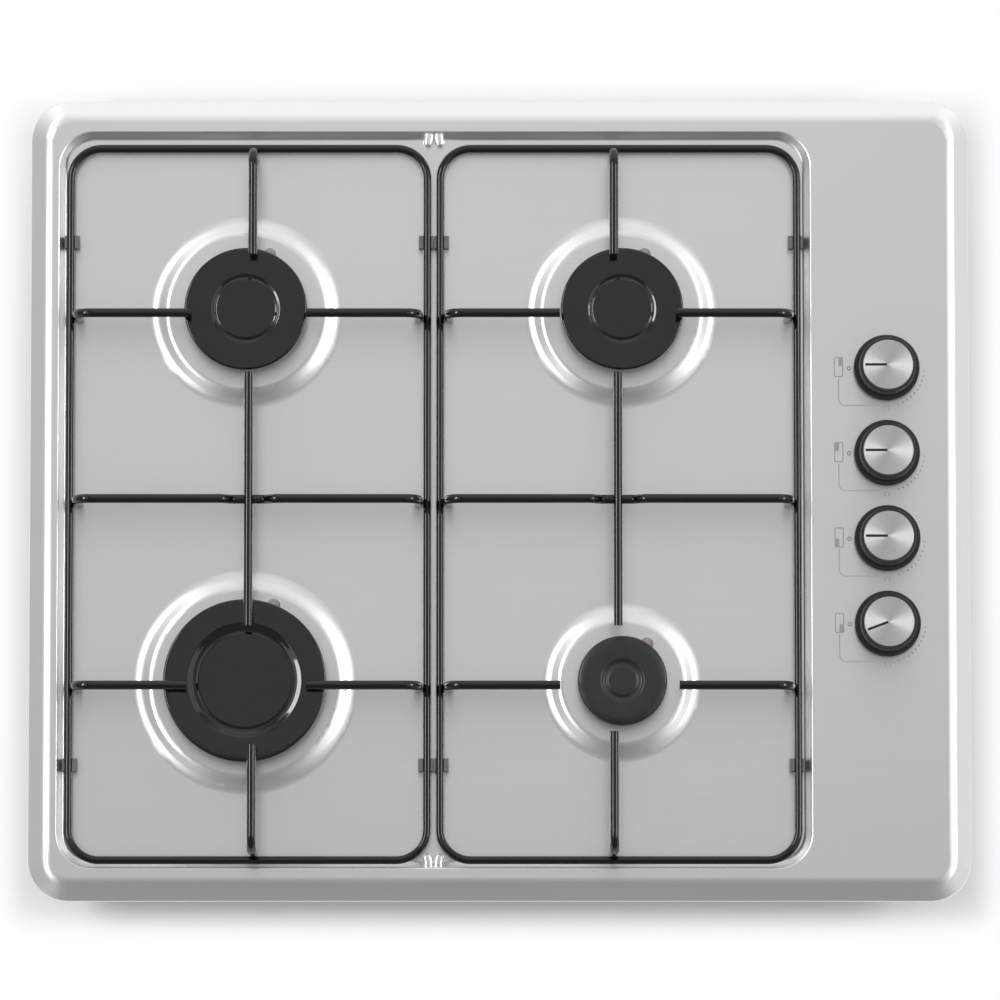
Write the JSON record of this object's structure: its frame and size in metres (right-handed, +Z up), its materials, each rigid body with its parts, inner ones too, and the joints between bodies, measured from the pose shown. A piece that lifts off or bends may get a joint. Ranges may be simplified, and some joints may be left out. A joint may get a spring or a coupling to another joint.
{
  "type": "gas cooktop",
  "caption": "Drop-in gas cooktop: stainless panel with a sunk well, lift-off wire pan supports, lift-apart burners and push-and-turn knobs on the right.",
  "frame": {"origin": "under the middle of the cooktop's outline, level with the underside of its tray", "axes": "+X to the right, towards the knobs; +Y to the back; +Z up"},
  "size_m": [0.585, 0.5, 0.0904],
  "materials": {
    "panel_steel": "brushed along the width, satin",
    "seal_foam": "closed-cell foam",
    "zinc_steel": "zinc-coated sheet",
    "zinc_screw": "zinc-plated",
    "brass": "machined",
    "pipe_aluminium": "drawn tube",
    "cast_aluminium": "as cast",
    "crown_aluminium": "cast and machined",
    "cap_enamel": "satin black enamel on steel",
    "grate_enamel": "gloss black enamel on steel wire",
    "white_ceramic": "glazed ceramic",
    "electrode_metal": "drawn wire",
    "spring_steel": "drawn spring wire",
    "spindle_steel": "turned",
    "knob_plastic": "fine-grained moulding",
    "disc_metal": "spun face, bright bevel",
    "dark_plastic": "moulded",
    "pale_plastic": "moulded",
    "lead_rubber": "silicone sleeve",
    "black_rubber": "moulded"
  },
  "bodies": {
    "hob": {"top_panel": "panel_steel", "rim_seal": "seal_foam", "bottom_tray": "zinc_steel", "tray_screws": "zinc_screw", "burner_cup_screws": "zinc_screw", "injectors": "brass", "gas_pipes": "pipe_aluminium", "pipe_nuts": "brass", "gas_rail": "zinc_steel", "gas_inlet": "brass", "gas_rail_brackets": "zinc_steel", "gas_taps": "cast_aluminium", "tap_bonnets": "zinc_steel", "tap_screws": "zinc_screw", "spindle_seals": "black_rubber", "electrode_ceramics": "white_ceramic", "electrode_pins": "electrode_metal", "spark_generator": "dark_plastic", "ignition_leads": "lead_rubber", "ignition_switches": "dark_plastic", "terminal_block": "pale_plastic", "cord_gland": "black_rubber", "rear_left_burner_cup": "cast_aluminium", "rear_right_burner_cup": "cast_aluminium", "front_left_burner_cup": "cast_aluminium", "front_right_burner_cup": "cast_aluminium"},
    "left_grate": {"left_grate_frame": "grate_enamel", "left_grate_bars": "grate_enamel", "left_grate_feet": "black_rubber"},
    "right_grate": {"right_grate_frame": "grate_enamel", "right_grate_bars": "grate_enamel", "right_grate_feet": "black_rubber"},
    "rear_left_crown": {"rear_left_burner_crown": "crown_aluminium"},
    "rear_left_cap": {"rear_left_burner_cap": "cap_enamel"},
    "rear_right_crown": {"rear_right_burner_crown": "crown_aluminium"},
    "rear_right_cap": {"rear_right_burner_cap": "cap_enamel"},
    "front_left_crown": {"front_left_burner_crown": "crown_aluminium"},
    "front_left_cap": {"front_left_burner_cap": "cap_enamel"},
    "front_right_crown": {"front_right_burner_crown": "crown_aluminium"},
    "front_right_cap": {"front_right_burner_cap": "cap_enamel"},
    "tap_plug_1": {"valve_plug_1": "brass", "return_spring_1": "spring_steel"},
    "control_1": {"spindle_1": "spindle_steel", "knob_1": "knob_plastic", "knob_disc_1": "disc_metal"},
    "tap_plug_2": {"valve_plug_2": "brass", "return_spring_2": "spring_steel"},
    "control_2": {"spindle_2": "spindle_steel", "knob_2": "knob_plastic", "knob_disc_2": "disc_metal"},
    "tap_plug_3": {"valve_plug_3": "brass", "return_spring_3": "spring_steel"},
    "control_3": {"spindle_3": "spindle_steel", "knob_3": "knob_plastic", "knob_disc_3": "disc_metal"},
    "tap_plug_4": {"valve_plug_4": "brass", "return_spring_4": "spring_steel"},
    "control_4": {"spindle_4": "spindle_steel", "knob_4": "knob_plastic", "knob_disc_4": "disc_metal"}
  },
  "joints": [
    {"name": "left_grate_lift", "type": "slide", "parent": "hob", "child": "left_grate", "axis": [0, 0, 1], "range_m": [0, 0.08]},
    {"name": "right_grate_lift", "type": "slide", "parent": "hob", "child": "right_grate", "axis": [0, 0, 1], "range_m": [0, 0.08]},
    {"name": "rear_left_crown_lift", "type": "slide", "parent": "hob", "child": "rear_left_crown", "axis": [0, 0, 1], "range_m": [0, 0.0045]},
    {"name": "rear_left_cap_lift", "type": "slide", "parent": "rear_left_crown", "child": "rear_left_cap", "axis": [0, 0, 1], "range_m": [0, 0.005]},
    {"name": "rear_right_crown_lift", "type": "slide", "parent": "hob", "child": "rear_right_crown", "axis": [0, 0, 1], "range_m": [0, 0.0045]},
    {"name": "rear_right_cap_lift", "type": "slide", "parent": "rear_right_crown", "child": "rear_right_cap", "axis": [0, 0, 1], "range_m": [0, 0.005]},
    {"name": "front_left_crown_lift", "type": "slide", "parent": "hob", "child": "front_left_crown", "axis": [0, 0, 1], "range_m": [0, 0.0045]},
    {"name": "front_left_cap_lift", "type": "slide", "parent": "front_left_crown", "child": "front_left_cap", "axis": [0, 0, 1], "range_m": [0, 0.005]},
    {"name": "front_right_crown_lift", "type": "slide", "parent": "hob", "child": "front_right_crown", "axis": [0, 0, 1], "range_m": [0, 0.04]},
    {"name": "front_right_cap_lift", "type": "slide", "parent": "front_right_crown", "child": "front_right_cap", "axis": [0, 0, 1], "range_m": [0, 0.04]},
    {"name": "knob_1_turn", "type": "hinge", "parent": "hob", "child": "tap_plug_1", "pos_m": [0.2407, 0.0812, 0], "axis": [0, 0, 1], "range_deg": [0, 210]},
    {"name": "knob_1_push", "type": "slide", "parent": "tap_plug_1", "child": "control_1", "axis": [0, 0, -1], "range_m": [0, 0.003], "stiffness_N_per_m": 800, "springref_m": -0.002, "deforming": ["return_spring_1"]},
    {"name": "knob_2_turn", "type": "hinge", "parent": "hob", "child": "tap_plug_2", "pos_m": [0.2407, 0.028, 0], "axis": [0, 0, 1], "range_deg": [0, 210]},
    {"name": "knob_2_push", "type": "slide", "parent": "tap_plug_2", "child": "control_2", "axis": [0, 0, -1], "range_m": [0, 0.003], "stiffness_N_per_m": 800, "springref_m": -0.002, "deforming": ["return_spring_2"]},
    {"name": "knob_3_turn", "type": "hinge", "parent": "hob", "child": "tap_plug_3", "pos_m": [0.2407, -0.0252, 0], "axis": [0, 0, 1], "range_deg": [0, 210]},
    {"name": "knob_3_push", "type": "slide", "parent": "tap_plug_3", "child": "control_3", "axis": [0, 0, -1], "range_m": [0, 0.003], "stiffness_N_per_m": 800, "springref_m": -0.002, "deforming": ["return_spring_3"]},
    {"name": "knob_4_turn", "type": "hinge", "parent": "hob", "child": "tap_plug_4", "pos_m": [0.2407, -0.0784, 0], "axis": [0, 0, 1], "range_deg": [-20.5, 189.5]},
    {"name": "knob_4_push", "type": "slide", "parent": "tap_plug_4", "child": "control_4", "axis": [0, 0, -1], "range_m": [0, 0.003], "stiffness_N_per_m": 800, "springref_m": -0.002, "deforming": ["return_spring_4"]}
  ]
}
